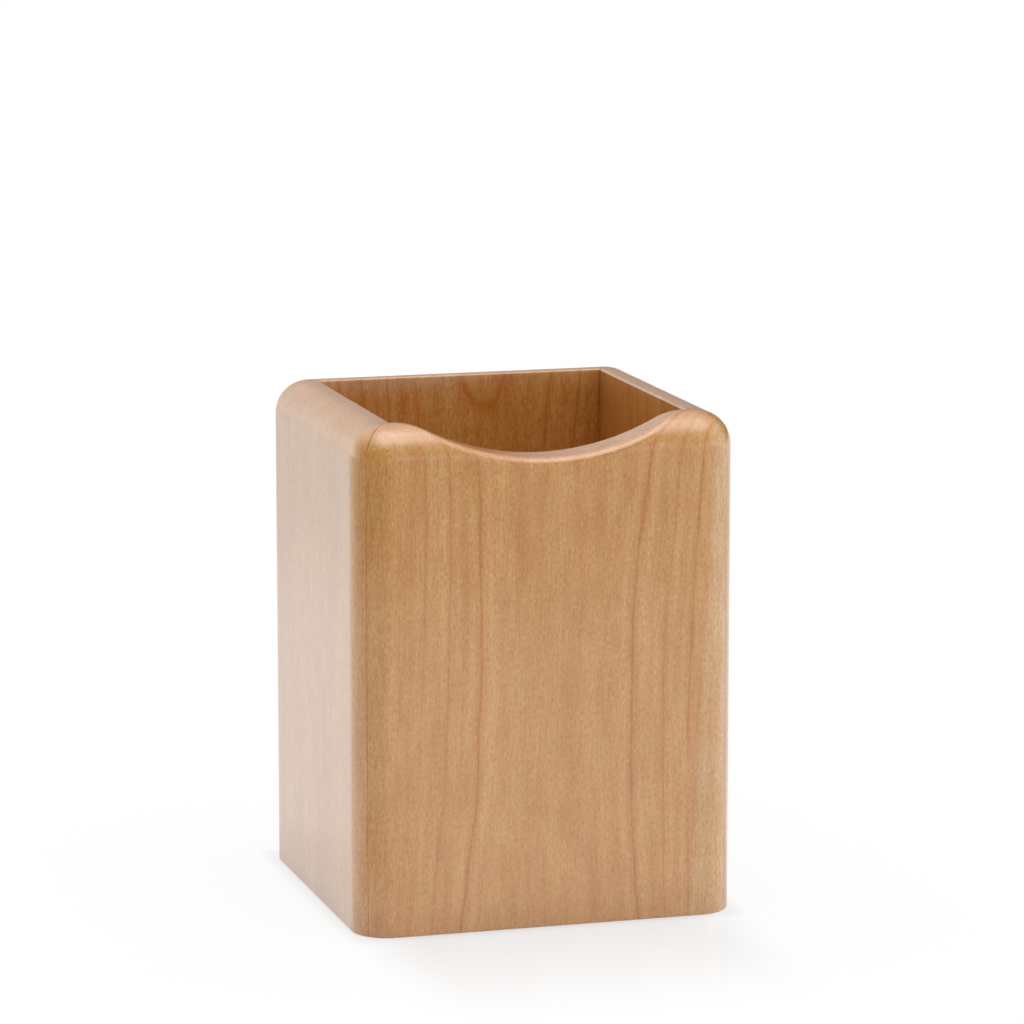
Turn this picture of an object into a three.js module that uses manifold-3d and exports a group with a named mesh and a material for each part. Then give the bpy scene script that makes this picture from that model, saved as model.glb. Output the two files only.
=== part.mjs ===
// A square wooden pen holder: four boards with upright grain, mitred at the corners and glued,
// a bottom panel held in a groove round the inside, and a stopped loose tongue hidden in each
// corner. The outside edges are well rounded and the front wall has a shallow finger scoop.
// Millimetres, +Z up. The origin is on the ground under the middle, the front faces -Y.
import * as THREE from 'three';
import { mergeVertices } from 'three/addons/utils/BufferGeometryUtils.js';
import Module from 'manifold-3d';

// Outside of the holder
const width = 80; // left to right
const depth = 76; // front to back
const height = 104;
const wall = 9; // thickness of the four boards
const edgeRadius = 7.5; // round on the upright outside edges
const topRadius = 7; // round on the outside of the top edge
const easing = 0.5; // tiny bevel on the bottom edges and on the inside of the rim

// Finger scoop in the top edge of the front board
const scoopDepth = 7.3;
const scoopRadius = 53; // of the hollow arc
const scoopEndRadius = 13; // of the swelling that leads from the arc up to the rim

// Bottom panel
const baseRecess = 2.5; // from the ground up to the panel's underside
const baseDrop = 3; // how far the middle of the panel hangs below its tongued edge
const baseTongue = 4; // thickness of the tongued edge

// Joinery
const fit = 0.3; // clearance round what sits in a groove or a slot
const glueLine = 0.1; // between two mitre faces
const grooveShare = 1 / 2; // depth of the panel's groove, as a share of the board it is cut in
const tongueShare = 1 / 3; // thickness of a loose tongue, as a share of the boards it joins
const coverShare = 1 / 5; // wood left between a tongue's slot and a board's face, likewise
const tongueStop = 5; // wood left above and below a tongue's slot

// Fineness of the round faces
const arcSteps = 6; // each arc is drawn with twice as many straight steps
const roundSteps = 8; // steps up the round of the top edge
const overrun = 5; // how far a cutting shape runs past what it cuts

const leastFlat = 0.5; // flat that the round of the top edge leaves on the rim and at its corners
const topRound = Math.min(topRadius, wall - easing - leastFlat, edgeRadius - leastFlat);

const wellWidth = width - 2 * wall;
const wellDepth = depth - 2 * wall;
const grooveDepth = wall * grooveShare;
const grooveFloor = baseRecess + baseDrop;
const grooveTop = grooveFloor + baseTongue + fit;

// A tongue lies across the mitre. Its place is measured from the inside corner, outwards along
// the mitre's diagonal.
const tongueThickness = wall * tongueShare;
const tongueCover = wall * coverShare;
const slotStart = tongueCover * Math.SQRT2;
const slotEnd = slotStart + tongueThickness + 2 * fit;
const tongueWidth = 2 * ((wall - tongueCover) * Math.SQRT2 - slotEnd - fit);
const tongueBottom = grooveTop + tongueStop;
const tongueHeight = height - topRound - tongueStop - tongueBottom;

const wasm = await Module();
wasm.setup();

// Turns a closed three.js geometry into a solid that can be cut and joined.
function solid(geometry) {
  const bare = geometry.clone();
  bare.deleteAttribute('normal');
  bare.deleteAttribute('uv');
  const merged = mergeVertices(bare);
  return new wasm.Manifold(
    new wasm.Mesh({
      numProp: 3,
      vertProperties: merged.getAttribute('position').array,
      triVerts: new Uint32Array(merged.getIndex().array),
    }),
  );
}

// Turns a cut solid back into a three.js geometry with flat faces.
function geometryOf(body) {
  const { vertProperties, triVerts } = body.getMesh();
  const indexed = new THREE.BufferGeometry();
  indexed.setAttribute('position', new THREE.BufferAttribute(vertProperties, 3));
  indexed.setIndex(new THREE.BufferAttribute(triVerts, 1));
  const flat = indexed.toNonIndexed();
  flat.computeVertexNormals();
  return flat;
}

// A block that stands on a given height, centred on the holder's axis.
function block(sizeX, sizeY, sizeZ, bottom) {
  return new THREE.BoxGeometry(sizeX, sizeY, sizeZ).translate(0, 0, bottom + sizeZ / 2);
}

// The holder's outline seen from above, with its upright edges rounded.
function outline() {
  const right = width / 2 - edgeRadius;
  const back = depth / 2 - edgeRadius;
  const shape = new THREE.Shape();
  shape.absarc(right, back, edgeRadius, 0, Math.PI / 2);
  shape.absarc(-right, back, edgeRadius, Math.PI / 2, Math.PI);
  shape.absarc(-right, -back, edgeRadius, Math.PI, 1.5 * Math.PI);
  shape.absarc(right, -back, edgeRadius, 1.5 * Math.PI, 2 * Math.PI);
  shape.closePath();
  return shape;
}

// The solid outside form: rounded round the top edge, barely bevelled round the bottom one.
function outerForm() {
  const rounded = new THREE.ExtrudeGeometry(outline(), {
    depth: height - topRound,
    curveSegments: arcSteps,
    bevelThickness: topRound,
    bevelSize: topRound,
    bevelOffset: -topRound,
    bevelSegments: roundSteps,
  });
  const bevelled = new THREE.ExtrudeGeometry(outline(), {
    depth: height + overrun,
    curveSegments: arcSteps,
    bevelThickness: easing,
    bevelSize: easing,
    bevelOffset: -easing,
    bevelSegments: 1,
  }).translate(0, 0, easing);
  return solid(rounded).intersect(solid(bevelled));
}

// The straight-sided space inside, flared at both ends by the tiny bevel.
function well() {
  const flare = easing + overrun;
  const shape = new THREE.Shape([
    new THREE.Vector2(-wellWidth / 2, -wellDepth / 2),
    new THREE.Vector2(wellWidth / 2, -wellDepth / 2),
    new THREE.Vector2(wellWidth / 2, wellDepth / 2),
    new THREE.Vector2(-wellWidth / 2, wellDepth / 2),
  ]);
  const geometry = new THREE.ExtrudeGeometry(shape, {
    depth: height - 2 * easing,
    bevelThickness: flare,
    bevelSize: -flare,
    bevelOffset: flare,
    bevelSegments: 1,
  });
  return solid(geometry.translate(0, 0, easing));
}

// The finger scoop: a hollow arc between two swellings that meet the rim level, cut straight
// through the front wall.
function scoop() {
  const rise = scoopRadius + scoopEndRadius - scoopDepth;
  const reach = Math.sqrt((scoopRadius + scoopEndRadius) ** 2 - rise ** 2);
  const lean = Math.atan2(rise, reach);
  const endCentre = height - scoopEndRadius;
  const arcCentre = height - scoopDepth + scoopRadius;
  const shape = new THREE.Shape();
  shape.absarc(-reach, endCentre, scoopEndRadius, Math.PI / 2, lean, true);
  shape.absarc(0, arcCentre, scoopRadius, Math.PI + lean, 2 * Math.PI - lean, false);
  shape.absarc(reach, endCentre, scoopEndRadius, Math.PI - lean, Math.PI / 2, true);
  shape.lineTo(reach, height + overrun);
  shape.lineTo(-reach, height + overrun);
  const geometry = new THREE.ExtrudeGeometry(shape, {
    depth: wall + 2 * overrun,
    curveSegments: arcSteps,
    bevelEnabled: false,
  });
  geometry.rotateX(Math.PI / 2).translate(0, -wellDepth / 2 + overrun, 0);
  return solid(geometry);
}

// The part of the ring of walls that belongs to one side, between its two mitres. The side is
// drawn at the front, then turned about the holder's axis to where it belongs.
function side(length, distance, turn) {
  const gap = glueLine / Math.SQRT2;
  const outerX = length / 2 + overrun - gap;
  const innerX = length / 2 - wall - overrun - gap;
  const outerY = -distance / 2 - overrun;
  const innerY = -distance / 2 + wall + overrun;
  const shape = new THREE.Shape([
    new THREE.Vector2(-outerX, outerY),
    new THREE.Vector2(outerX, outerY),
    new THREE.Vector2(innerX, innerY),
    new THREE.Vector2(-innerX, innerY),
  ]);
  const geometry = new THREE.ExtrudeGeometry(shape, {
    depth: height + 2 * overrun,
    bevelEnabled: false,
  });
  return solid(geometry.translate(0, 0, -overrun).rotateZ(turn));
}

// A block set across the mitre of one corner. Grown by the fit, it is the slot for the tongue
// that the same block is without it.
function tongueBlock(acrossX, acrossY, clearance) {
  const reach = (slotStart + slotEnd) / 2;
  const angle = Math.atan2(acrossY, acrossX);
  return new THREE.BoxGeometry(
    tongueThickness + 2 * clearance,
    tongueWidth + 2 * clearance,
    tongueHeight + 2 * clearance,
  )
    .rotateZ(angle)
    .translate(
      (acrossX * wellWidth) / 2 + reach * Math.cos(angle),
      (acrossY * wellDepth) / 2 + reach * Math.sin(angle),
      tongueBottom + tongueHeight / 2,
    );
}

// The bottom panel: a middle that hangs into the well, and an edge that fills the groove.
function basePanel() {
  const middle = block(
    wellWidth - 2 * fit,
    wellDepth - 2 * fit,
    baseDrop + baseTongue,
    baseRecess,
  );
  const reach = grooveDepth - fit;
  const edge = block(wellWidth + 2 * reach, wellDepth + 2 * reach, baseTongue, grooveFloor);
  return solid(middle).add(solid(edge));
}

const lacqueredWood = new THREE.MeshStandardMaterial({
  color: 0xc4956b,
  roughness: 0.42,
  metalness: 0,
});
const panelWood = new THREE.MeshStandardMaterial({
  color: 0xb98a60,
  roughness: 0.55,
  metalness: 0,
});
const tongueWood = new THREE.MeshStandardMaterial({
  color: 0xd8b48a,
  roughness: 0.8,
  metalness: 0,
});

const corners = [
  { name: 'front_left_tongue', acrossX: -1, acrossY: -1 },
  { name: 'front_right_tongue', acrossX: 1, acrossY: -1 },
  { name: 'back_left_tongue', acrossX: -1, acrossY: 1 },
  { name: 'back_right_tongue', acrossX: 1, acrossY: 1 },
];

const sides = [
  { name: 'front_board', length: width, distance: depth, turn: 0 },
  { name: 'right_board', length: depth, distance: width, turn: Math.PI / 2 },
  { name: 'back_board', length: width, distance: depth, turn: Math.PI },
  { name: 'left_board', length: depth, distance: width, turn: -Math.PI / 2 },
];

const holder = new THREE.Group();

// Adds a piece whose geometry is centred on its own middle, placed where it belongs.
function addPiece(name, geometry, material) {
  geometry.computeBoundingBox();
  const middle = geometry.boundingBox.getCenter(new THREE.Vector3());
  const mesh = new THREE.Mesh(geometry.translate(-middle.x, -middle.y, -middle.z), material);
  mesh.name = name;
  mesh.position.copy(middle);
  holder.add(mesh);
}

// The ring of walls with the well, the groove, the slots and the scoop cut out of it.
const groove = block(
  wellWidth + 2 * grooveDepth,
  wellDepth + 2 * grooveDepth,
  grooveTop - grooveFloor,
  grooveFloor,
);
let ring = outerForm().subtract(well()).subtract(scoop()).subtract(solid(groove));
for (const { acrossX, acrossY } of corners) {
  ring = ring.subtract(solid(tongueBlock(acrossX, acrossY, fit)));
}

for (const { name, length, distance, turn } of sides) {
  addPiece(name, geometryOf(ring.intersect(side(length, distance, turn))), lacqueredWood);
}
addPiece('base_board', geometryOf(basePanel()), panelWood);
for (const { name, acrossX, acrossY } of corners) {
  addPiece(name, tongueBlock(acrossX, acrossY, 0), tongueWood);
}

export default holder;
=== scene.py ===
"""The looks of a square wooden pen holder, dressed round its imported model.

Four boards with upright grain are mitred and glued into a box. Their outside edges are well
rounded, a shallow finger scoop is cut in the front one, a bottom panel sits in a groove round
the inside, and a loose tongue is hidden in each corner. Everything is in metres, +Z up, and the
front faces -Y.
"""

import logging
import math
from dataclasses import dataclass, field
from enum import Enum

import bmesh
import bpy
from mathutils import Euler, Matrix, Vector


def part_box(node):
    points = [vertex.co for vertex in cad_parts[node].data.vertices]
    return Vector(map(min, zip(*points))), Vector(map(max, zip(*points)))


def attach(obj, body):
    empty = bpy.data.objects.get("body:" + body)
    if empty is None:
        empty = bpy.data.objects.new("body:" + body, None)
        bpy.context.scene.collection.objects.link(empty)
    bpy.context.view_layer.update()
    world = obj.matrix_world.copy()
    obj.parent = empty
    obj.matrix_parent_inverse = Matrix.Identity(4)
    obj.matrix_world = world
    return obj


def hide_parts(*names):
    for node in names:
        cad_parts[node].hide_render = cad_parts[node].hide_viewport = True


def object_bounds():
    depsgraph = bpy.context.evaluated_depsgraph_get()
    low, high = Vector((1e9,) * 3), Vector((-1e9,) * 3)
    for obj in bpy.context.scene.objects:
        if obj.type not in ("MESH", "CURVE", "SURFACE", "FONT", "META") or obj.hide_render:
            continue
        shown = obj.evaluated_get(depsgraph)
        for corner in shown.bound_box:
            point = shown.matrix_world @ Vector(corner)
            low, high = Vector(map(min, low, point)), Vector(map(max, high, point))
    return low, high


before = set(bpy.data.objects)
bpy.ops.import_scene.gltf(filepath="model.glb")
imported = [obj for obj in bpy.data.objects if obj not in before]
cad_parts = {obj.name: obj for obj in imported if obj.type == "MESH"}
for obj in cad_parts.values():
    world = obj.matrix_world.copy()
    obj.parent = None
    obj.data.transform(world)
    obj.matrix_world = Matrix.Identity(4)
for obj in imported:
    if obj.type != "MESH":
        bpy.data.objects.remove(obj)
cad_low, cad_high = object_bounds()

log = logging.getLogger("pen_holder")

MM = 0.001
BODY = "root"
HALF_PI = math.pi / 2
QUARTER_PI = math.pi / 4
SHARP_ANGLE = math.radians(32)
MERGE_DISTANCE = 0.001 * MM

Pair = tuple[float, float]
Triple = tuple[float, float, float]


class Field:
    """A value that varies over a mesh: the output of a node, usable in arithmetic."""

    def __init__(self, sheet: "NodeSheet", socket: bpy.types.NodeSocket) -> None:
        """Wraps an output socket of a node sheet."""
        self.sheet = sheet
        self.socket = socket

    def __add__(self, other: "Value") -> "Field":
        """Adds."""
        return self.sheet.maths("ADD", self, other)

    def __sub__(self, other: "Value") -> "Field":
        """Subtracts."""
        return self.sheet.maths("SUBTRACT", self, other)

    def __rsub__(self, other: float) -> "Field":
        """Subtracts from a plain number."""
        return self.sheet.maths("SUBTRACT", other, self)

    def __mul__(self, other: "Value") -> "Field":
        """Multiplies."""
        return self.sheet.maths("MULTIPLY", self, other)

    def __truediv__(self, other: "Value") -> "Field":
        """Divides."""
        return self.sheet.maths("DIVIDE", self, other)


Value = Field | float
Place = tuple[Field, Field, Field]


class NodeSheet:
    """Adds nodes to one node tree, of a material, a world or a geometry rule."""

    def __init__(self, tree: bpy.types.NodeTree) -> None:
        """Starts on an existing tree."""
        self.tree = tree

    @classmethod
    def on(cls, owner: bpy.types.Material | bpy.types.World, *rest: object) -> "NodeSheet":
        """Starts on the emptied tree of a material or a world.

        Args:
            owner: the material or world.
            rest: what else the sheet is made with.

        Returns:
            The sheet.
        """
        owner.use_nodes = True
        owner.node_tree.nodes.clear()
        return cls(owner.node_tree, *rest)

    def node(
        self,
        kind: str,
        settings: dict[str, object] | None = None,
        values: dict[str | int, object] | None = None,
    ) -> bpy.types.Node:
        """Adds one node.

        Args:
            kind: the node's type.
            settings: properties of the node, which are set first.
            values: what each input holds, by name or place: a field to link, or a plain value.

        Returns:
            The new node.
        """
        made = self.tree.nodes.new(kind)
        for name, value in (settings or {}).items():
            setattr(made, name, value)
        for key, value in (values or {}).items():
            if isinstance(value, Field):
                self.tree.links.new(value.socket, made.inputs[key])
            else:
                made.inputs[key].default_value = value
        return made

    def field(self, kind: str, settings: dict | None = None, values: dict | None = None) -> Field:
        """Adds one node and gives its first output."""
        return self.output(self.node(kind, settings, values), 0)

    def output(self, node: bpy.types.Node, name: str | int) -> Field:
        """Gives one output of a node, by name or place."""
        return Field(self, node.outputs[name])

    def maths(self, operation: str, *values: Value, clamp: bool = False) -> Field:
        """Adds a Math node, which can hold its result between 0 and 1."""
        settings = {"operation": operation, "use_clamp": clamp}
        return self.field("ShaderNodeMath", settings, dict(enumerate(values)))

    def combine(self, x: Value, y: Value, z: Value) -> Field:
        """Makes a vector of three numbers."""
        return self.field("ShaderNodeCombineXYZ", None, {0: x, 1: y, 2: z})

    def split(self, vector: Field) -> Place:
        """Takes a vector apart into its three numbers."""
        made = self.node("ShaderNodeSeparateXYZ", None, {0: vector})
        return self.output(made, 0), self.output(made, 1), self.output(made, 2)

    def rise(self, value: Field, low: float, high: float) -> Field:
        """Rises smoothly from 0 to 1 as a value goes from low to high."""
        settings = {"interpolation_type": "SMOOTHSTEP"}
        return self.field("ShaderNodeMapRange", settings, {0: value, 1: low, 2: high})

    def fall(self, value: Field, low: float, high: float) -> Field:
        """Falls smoothly from 1 to 0 as a value goes from low to high."""
        return 1.0 - self.rise(value, low, high)

    def blend(self, factor: Value, first: Field, second: Value) -> Field:
        """Goes from one number to another as a factor goes from 0 to 1."""
        return first + (second - first) * factor

    def mix(self, factor: Value, first: object, second: object, how: str = "MIX") -> Field:
        """Blends two colours.

        Args:
            factor: share of the second colour.
            first: a colour or a field.
            second: a colour or a field.
            how: the way they are blended.

        Returns:
            The blended colour.
        """
        settings = {"data_type": "RGBA", "blend_type": how}
        values = {0: factor, 6: self._colour(first), 7: self._colour(second)}
        return self.output(self.node("ShaderNodeMix", settings, values), 2)

    @staticmethod
    def _colour(value: object) -> object:
        """Gives a plain colour its fourth number, and leaves a field alone."""
        return value if isinstance(value, Field) else (*value, 1.0)

    def place(self) -> Field:
        """Gives the place of a point in its object's own axes."""
        return self.output(self.node("ShaderNodeTexCoord"), "Object")

    def facing(self) -> Field:
        """Gives the way that the surface faces."""
        return self.output(self.node("ShaderNodeNewGeometry"), "Normal")

    def ray(self, kind: str) -> Field:
        """Says whether a ray is of one kind."""
        return self.output(self.node("ShaderNodeLightPath"), f"Is {kind} Ray")


def new_object(name: str, data: bpy.types.ID) -> bpy.types.Object:
    """Makes an object of a mesh or a camera and puts it in the scene."""
    made = bpy.data.objects.new(name, data)
    bpy.context.scene.collection.objects.link(made)
    return made


class Side(Enum):
    """The four walls, with how many quarter turns each stands from the front."""

    FRONT = 0
    RIGHT = 1
    BACK = 2
    LEFT = 3

    @property
    def node(self) -> str:
        """Name of the wall's board."""
        return f"{self.name.lower()}_board"

    @property
    def turn(self) -> float:
        """Angle about the upright axis, in radians."""
        return self.value * HALF_PI


class Corner(Enum):
    """The four upright corners, with the way out along each axis."""

    FRONT_LEFT = (-1, -1)
    FRONT_RIGHT = (1, -1)
    BACK_LEFT = (-1, 1)
    BACK_RIGHT = (1, 1)

    @property
    def node(self) -> str:
        """Name of the corner's tongue."""
        return f"{self.name.lower()}_tongue"


@dataclass
class HolderSizes:
    """Sizes of the holder, in metres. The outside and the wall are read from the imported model."""

    edge_radius: float = 7.5 * MM
    top_radius: float = 7.0 * MM
    scoop_depth: float = 7.3 * MM
    scoop_radius: float = 53.0 * MM
    scoop_end_radius: float = 13.0 * MM
    scoop_easing: float = 1.8 * MM
    rim_easing: float = 0.5 * MM
    foot_easing: float = 0.5 * MM
    glue_line: float = 0.05 * MM
    fit: float = 0.3 * MM
    panel_drop: float = 3.0 * MM
    tongue_stop: float = 5.0 * MM

    def __post_init__(self) -> None:
        """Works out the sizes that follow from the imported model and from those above."""
        wall_low, wall_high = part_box(Side.FRONT.node)
        panel_low, panel_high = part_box("base_board")
        self.width = cad_high.x - cad_low.x
        self.depth = cad_high.y - cad_low.y
        self.height = cad_high.z
        self.wall = wall_high.y - wall_low.y

        # The groove for the bottom panel: how deep it is cut, and its lower and upper side.
        self.groove_depth = self.wall / 2
        self.groove_floor = panel_low.z + self.panel_drop
        self.groove_top = panel_high.z + self.fit

        # The tongues and their slots. A slot starts and ends so far out from the inside corner
        # along the mitre, and the cover is the wood left between it and a board's face.
        cover = self.wall / 5
        self.tongue_thickness = self.wall / 3
        self.slot_start = cover * math.sqrt(2)
        self.slot_end = self.slot_start + self.tongue_thickness + 2 * self.fit
        room = (self.wall - cover) * math.sqrt(2) - self.slot_end
        self.tongue_width = 2 * (room - self.fit)
        low = self.groove_top + self.tongue_stop
        self.tongue_span = (low, self.height - self.top_radius - self.tongue_stop)


@dataclass(frozen=True)
class Figure:
    """Where a piece was cut from its log, in millimetres, with the grain along the third axis.

    The piece is turned and moved so that its face looks along the second axis away from the
    pith. The pith runs behind the face and drifts sideways, and the years' rings lie round it.
    """

    turn: Triple
    shift: Triple
    pith_side: float
    pith_lean: float
    pith_depth: float
    pith_bow: float
    first_ring: float
    ring_spacing: float
    seed: float
    faint_ring: float = -40.0
    quiet_from: float = -400.0
    sapwood_from: float = 400.0
    breadth: float = 1.0


class Noise(Enum):
    """The wood's noises: the size of their spots along each axis of the log, in millimetres, and
    how many finer layers they have.
    """

    STREAK = (0.42, 0.42, 9.0, 1.0)
    FLECK = (0.29, 0.29, 0.95, 2.0)
    BAND = (3.2, 3.2, 60.0, 2.0)
    MOTTLE = (5.0, 5.0, 9.0, 1.0)
    TINT = (2.4, 2.4, 12.0, 1.0)
    CLUSTER = (4.0, 4.0, 30.0, 1.0)
    SLOW_WAVE = (17.0, 17.0, 48.0, 1.0)
    QUICK_WAVE = (5.0, 5.0, 12.0, 1.0)
    BREAK = (9.0, 9.0, 22.0, 1.0)


class Pore(Enum):
    """The pores' looks: the size of the cells that hold one each, in millimetres, and the radii,
    as shares of a cell, between which a pore fades out.
    """

    DOT = (1.05, 1.05, 9.0, 0.15, 0.28)
    DASH = (0.52, 0.52, 5.2, 0.10, 0.30)


@dataclass(frozen=True)
class Grain:
    """What the cut shows at one point of a piece, each as a field, with the masks of the painted
    shade: under on faces turned down, which also lose coat, and foot near the floor.
    """

    late: Field
    early: Field
    streak: Field
    fleck: Field
    pore: Field
    band: Field
    mottle: Field
    tint: Field
    sapwood: Field
    end: Field
    # Faces turned down: painted shade in the colour, and duller with less coat.
    under: Field
    # Painted shade near the floor, fading out upwards.
    foot: Field


@dataclass(frozen=True)
class WoodFinish:
    """A fine-grained reddish hardwood under a clear coat.

    The wood's own colour lies between pale and deep, and every other colour multiplies it. The
    colours for faces turned down and for the foot are painted shade. What ends in share says how
    much of something shows.
    """

    name: str
    figure: Figure
    joint_at: float | None = None
    pale: Triple = (0.785, 0.381, 0.1000)
    deep: Triple = (0.545, 0.200, 0.0040)
    warm: Triple = (0.90, 0.77, 0.42)
    cool: Triple = (1.11, 1.30, 2.20)
    late: Triple = (0.85, 0.60, 0.12)
    rose: Triple = (1.015, 0.98, 1.02)
    straw: Triple = (0.985, 1.02, 0.92)
    end_grain: Triple = (0.96, 0.82, 0.66)
    pore: Triple = (0.60, 0.38, 0.08)
    sapwood: Triple = (1.05, 1.27, 2.10)
    # Painted shade multiplied onto faces turned down.
    underside_shade: Triple = (0.82, 0.76, 0.70)
    # Painted shade multiplied onto the lowest part of every face, near the floor.
    foot: Triple = (0.86, 0.80, 0.74)
    glue: Triple = (0.34, 0.22, 0.16)
    streak_share: float = 0.7
    fleck_share: float = 1.8
    mottle_share: float = 0.7
    early_share: float = 0.25
    tint_share: float = 2.2
    end_share: float = 0.7
    under_shade_share: float = 0.5
    foot_shade_share: float = 0.40
    glue_share: float = 0.8
    dash_share: float = 0.24
    ring_strength: float = 1.3
    foot_shade_height: float = 9.0 * MM
    glue_reach: Pair = (0.06 * MM, 0.26 * MM)
    relief: Triple = (0.6, -0.9, -0.3)
    relief_depth: float = 0.03 * MM
    relief_strength: float = 0.22
    dulling: Triple = (0.10, 0.12, 0.15)
    roughness: float = 0.32
    coat: float = 1.0
    coat_lost_below: float = 0.7
    coat_roughness: float = 0.14
    coat_index: float = 1.72
    sheen_level: float = 0.75

    def make(self) -> bpy.types.Material:
        """Makes the material."""
        material = bpy.data.materials.new(self.name)
        WoodSheet.on(material, self).draw()
        return material


class WoodSheet(NodeSheet):
    """Draws a wood finish. It reads only the place of a point and the way the surface faces.

    A place in the log is sideways, inward from the face and along the grain, in millimetres.
    """

    END_FACING = (0.60, 1.0)
    # How far a face turns down before it takes painted shade and loses coat.
    UNDER_FACING = (0.30, 0.95)
    TOP_FACING = (0.15, 0.70)
    CLUSTERS = (0.45, 0.56)
    GLUE_ON_EDGE = 0.1
    SEED_STEP = 1.37

    # The pith bows by its full amount this far above and below the middle of the log.
    MIDDLE = 52.0
    BOW_HEIGHT = 45.0

    # How far the slow and the quick waves shift the rings and the fibres.
    RING_WAVES = (1.5, 0.5)
    FIBRE_WAVES = (2.2, 0.5)
    FIBRE_LEAN = 0.6

    # Half width of a line, as a share of a year's ring, and its strength.
    SHARP_LINE = (0.031, 0.76)
    SOFT_LINE = (0.10, 0.24)
    FAINT_RING = (0.33, 0.92)
    EARLY_AT = 0.26
    EARLY_WIDTH = 0.12

    LEAST_LINE = 0.5
    BREAKS = (0.12, 0.54)
    QUIET_EDGE = (3.0, 1.0)
    QUIET_LEVEL = 0.25
    SAPWOOD_LEAN = 0.02
    SAPWOOD_EDGE = 2.0
    SAPWOOD_QUIET = 0.85

    def __init__(self, tree: bpy.types.NodeTree, finish: WoodFinish) -> None:
        """Starts on the tree of a material that gets a finish."""
        super().__init__(tree)
        self.finish = finish
        self.figure = finish.figure

    def draw(self) -> None:
        """Draws the finish and joins it to the material's output."""
        finish = self.finish
        grain = self._grain()
        fleck = grain.fleck - 0.5
        by_fleck, by_pore, by_late = finish.relief
        relief = fleck * by_fleck + grain.pore * by_pore + grain.late * by_late
        values = {
            "Strength": finish.relief_strength,
            "Distance": finish.relief_depth,
            "Height": relief,
        }
        bump = self.field("ShaderNodeBump", None, values)
        by_fleck, by_pore, by_under = finish.dulling
        dull = fleck * by_fleck + grain.pore * by_pore + grain.under * by_under
        values = {
            "Base Color": self._wood(grain),
            "Roughness": dull + finish.roughness,
            "Specular IOR Level": finish.sheen_level,
            "Coat Weight": (1.0 - grain.under * finish.coat_lost_below) * finish.coat,
            "Coat Roughness": finish.coat_roughness,
            "Coat IOR": finish.coat_index,
            "Normal": bump,
        }
        surface = self.field("ShaderNodeBsdfPrincipled", None, values)
        self.node("ShaderNodeOutputMaterial", None, {"Surface": surface})

    def _in_log(self) -> Place:
        """Gives a point's place in the log."""
        values = {
            "Vector": self.place(),
            "Location": self.figure.shift,
            "Rotation": self.figure.turn,
            "Scale": (1 / MM, 1 / MM, 1 / MM),
        }
        return self.split(self.field("ShaderNodeMapping", {"vector_type": "POINT"}, values))

    def _grain(self) -> Grain:
        """Draws everything that the cut shows, and the masks of the painted shade on faces turned
        down and near the floor.

        Returns:
            The fields.
        """
        x, y, z = self._in_log()
        late, early, sapwood, wander = self._rings((x, y, z))
        place = (x + wander, y, z)
        facing = self.facing()
        values = {0: facing, 1: self._grain_axis()}
        along = self.node("ShaderNodeVectorMath", {"operation": "DOT_PRODUCT"}, values)
        along = self.maths("ABSOLUTE", self.output(along, "Value"))
        end = self.rise(along, *self.END_FACING)
        height = self.split(self.place())[2]
        return Grain(
            late=late,
            early=early,
            streak=self._noise(place, Noise.STREAK),
            fleck=self._noise(place, Noise.FLECK),
            pore=self._pores(place, end),
            band=self._noise(place, Noise.BAND, self.figure.breadth),
            mottle=self._noise(place, Noise.MOTTLE),
            tint=self._noise(place, Noise.TINT),
            sapwood=sapwood,
            end=end,
            # Faces turned down: painted shade, duller and with less coat.
            under=self.rise(self.split(facing)[2] * -1.0, *self.UNDER_FACING),
            # Painted shade on the lowest part of every face, near the floor.
            foot=self.fall(height, 0.0, self.finish.foot_shade_height),
        )

    def _grain_axis(self) -> Triple:
        """Gives the way the grain runs, in the holder's axes."""
        return tuple(Euler(self.figure.turn).to_matrix().transposed() @ Vector((0, 0, 1)))

    def _noise(self, place: Place, noise: Noise, breadth: float = 1.0) -> Field:
        """Draws a noise, which stays round 0.5.

        Args:
            place: where in the log.
            noise: which one.
            breadth: how many times as broad as usual its spots are across the grain.

        Returns:
            The noise.
        """
        across, inward, along, layers = noise.value
        cells = self._cells(place, (across * breadth, inward * breadth, along))
        values = {"Vector": cells, "Scale": 1.0, "Detail": layers}
        return self.field("ShaderNodeTexNoise", {"noise_dimensions": "3D"}, values)

    def _cells(self, place: Place, sizes: Triple) -> Field:
        """Divides a place by the size of a pattern's cells, and moves on by the piece's seed."""
        seed = self.figure.seed
        return self.combine(*(place[i] / sizes[i] + seed * (i + self.SEED_STEP) for i in range(3)))

    def _pores(self, place: Place, end: Field) -> Field:
        """Draws pores: a few clusters of dots on end grain, and faint fine dashes along a face.

        Args:
            place: where in the log.
            end: how much of the end grain shows.

        Returns:
            1 in a pore, 0 outside.
        """
        cluster = self.rise(self._noise(place, Noise.CLUSTER), *self.CLUSTERS)
        dashes = self._spots(place, Pore.DASH) * self.finish.dash_share
        return self.blend(end, dashes, self._spots(place, Pore.DOT) * cluster)

    def _spots(self, place: Place, pore: Pore) -> Field:
        """Draws one kind of pore: 1 inside, 0 outside."""
        *sizes, core, rim = pore.value
        values = {"Vector": self._cells(place, sizes), "Scale": 1.0}
        settings = {"voronoi_dimensions": "3D", "feature": "F1"}
        return self.fall(self.field("ShaderNodeTexVoronoi", settings, values), core, rim)

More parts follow.
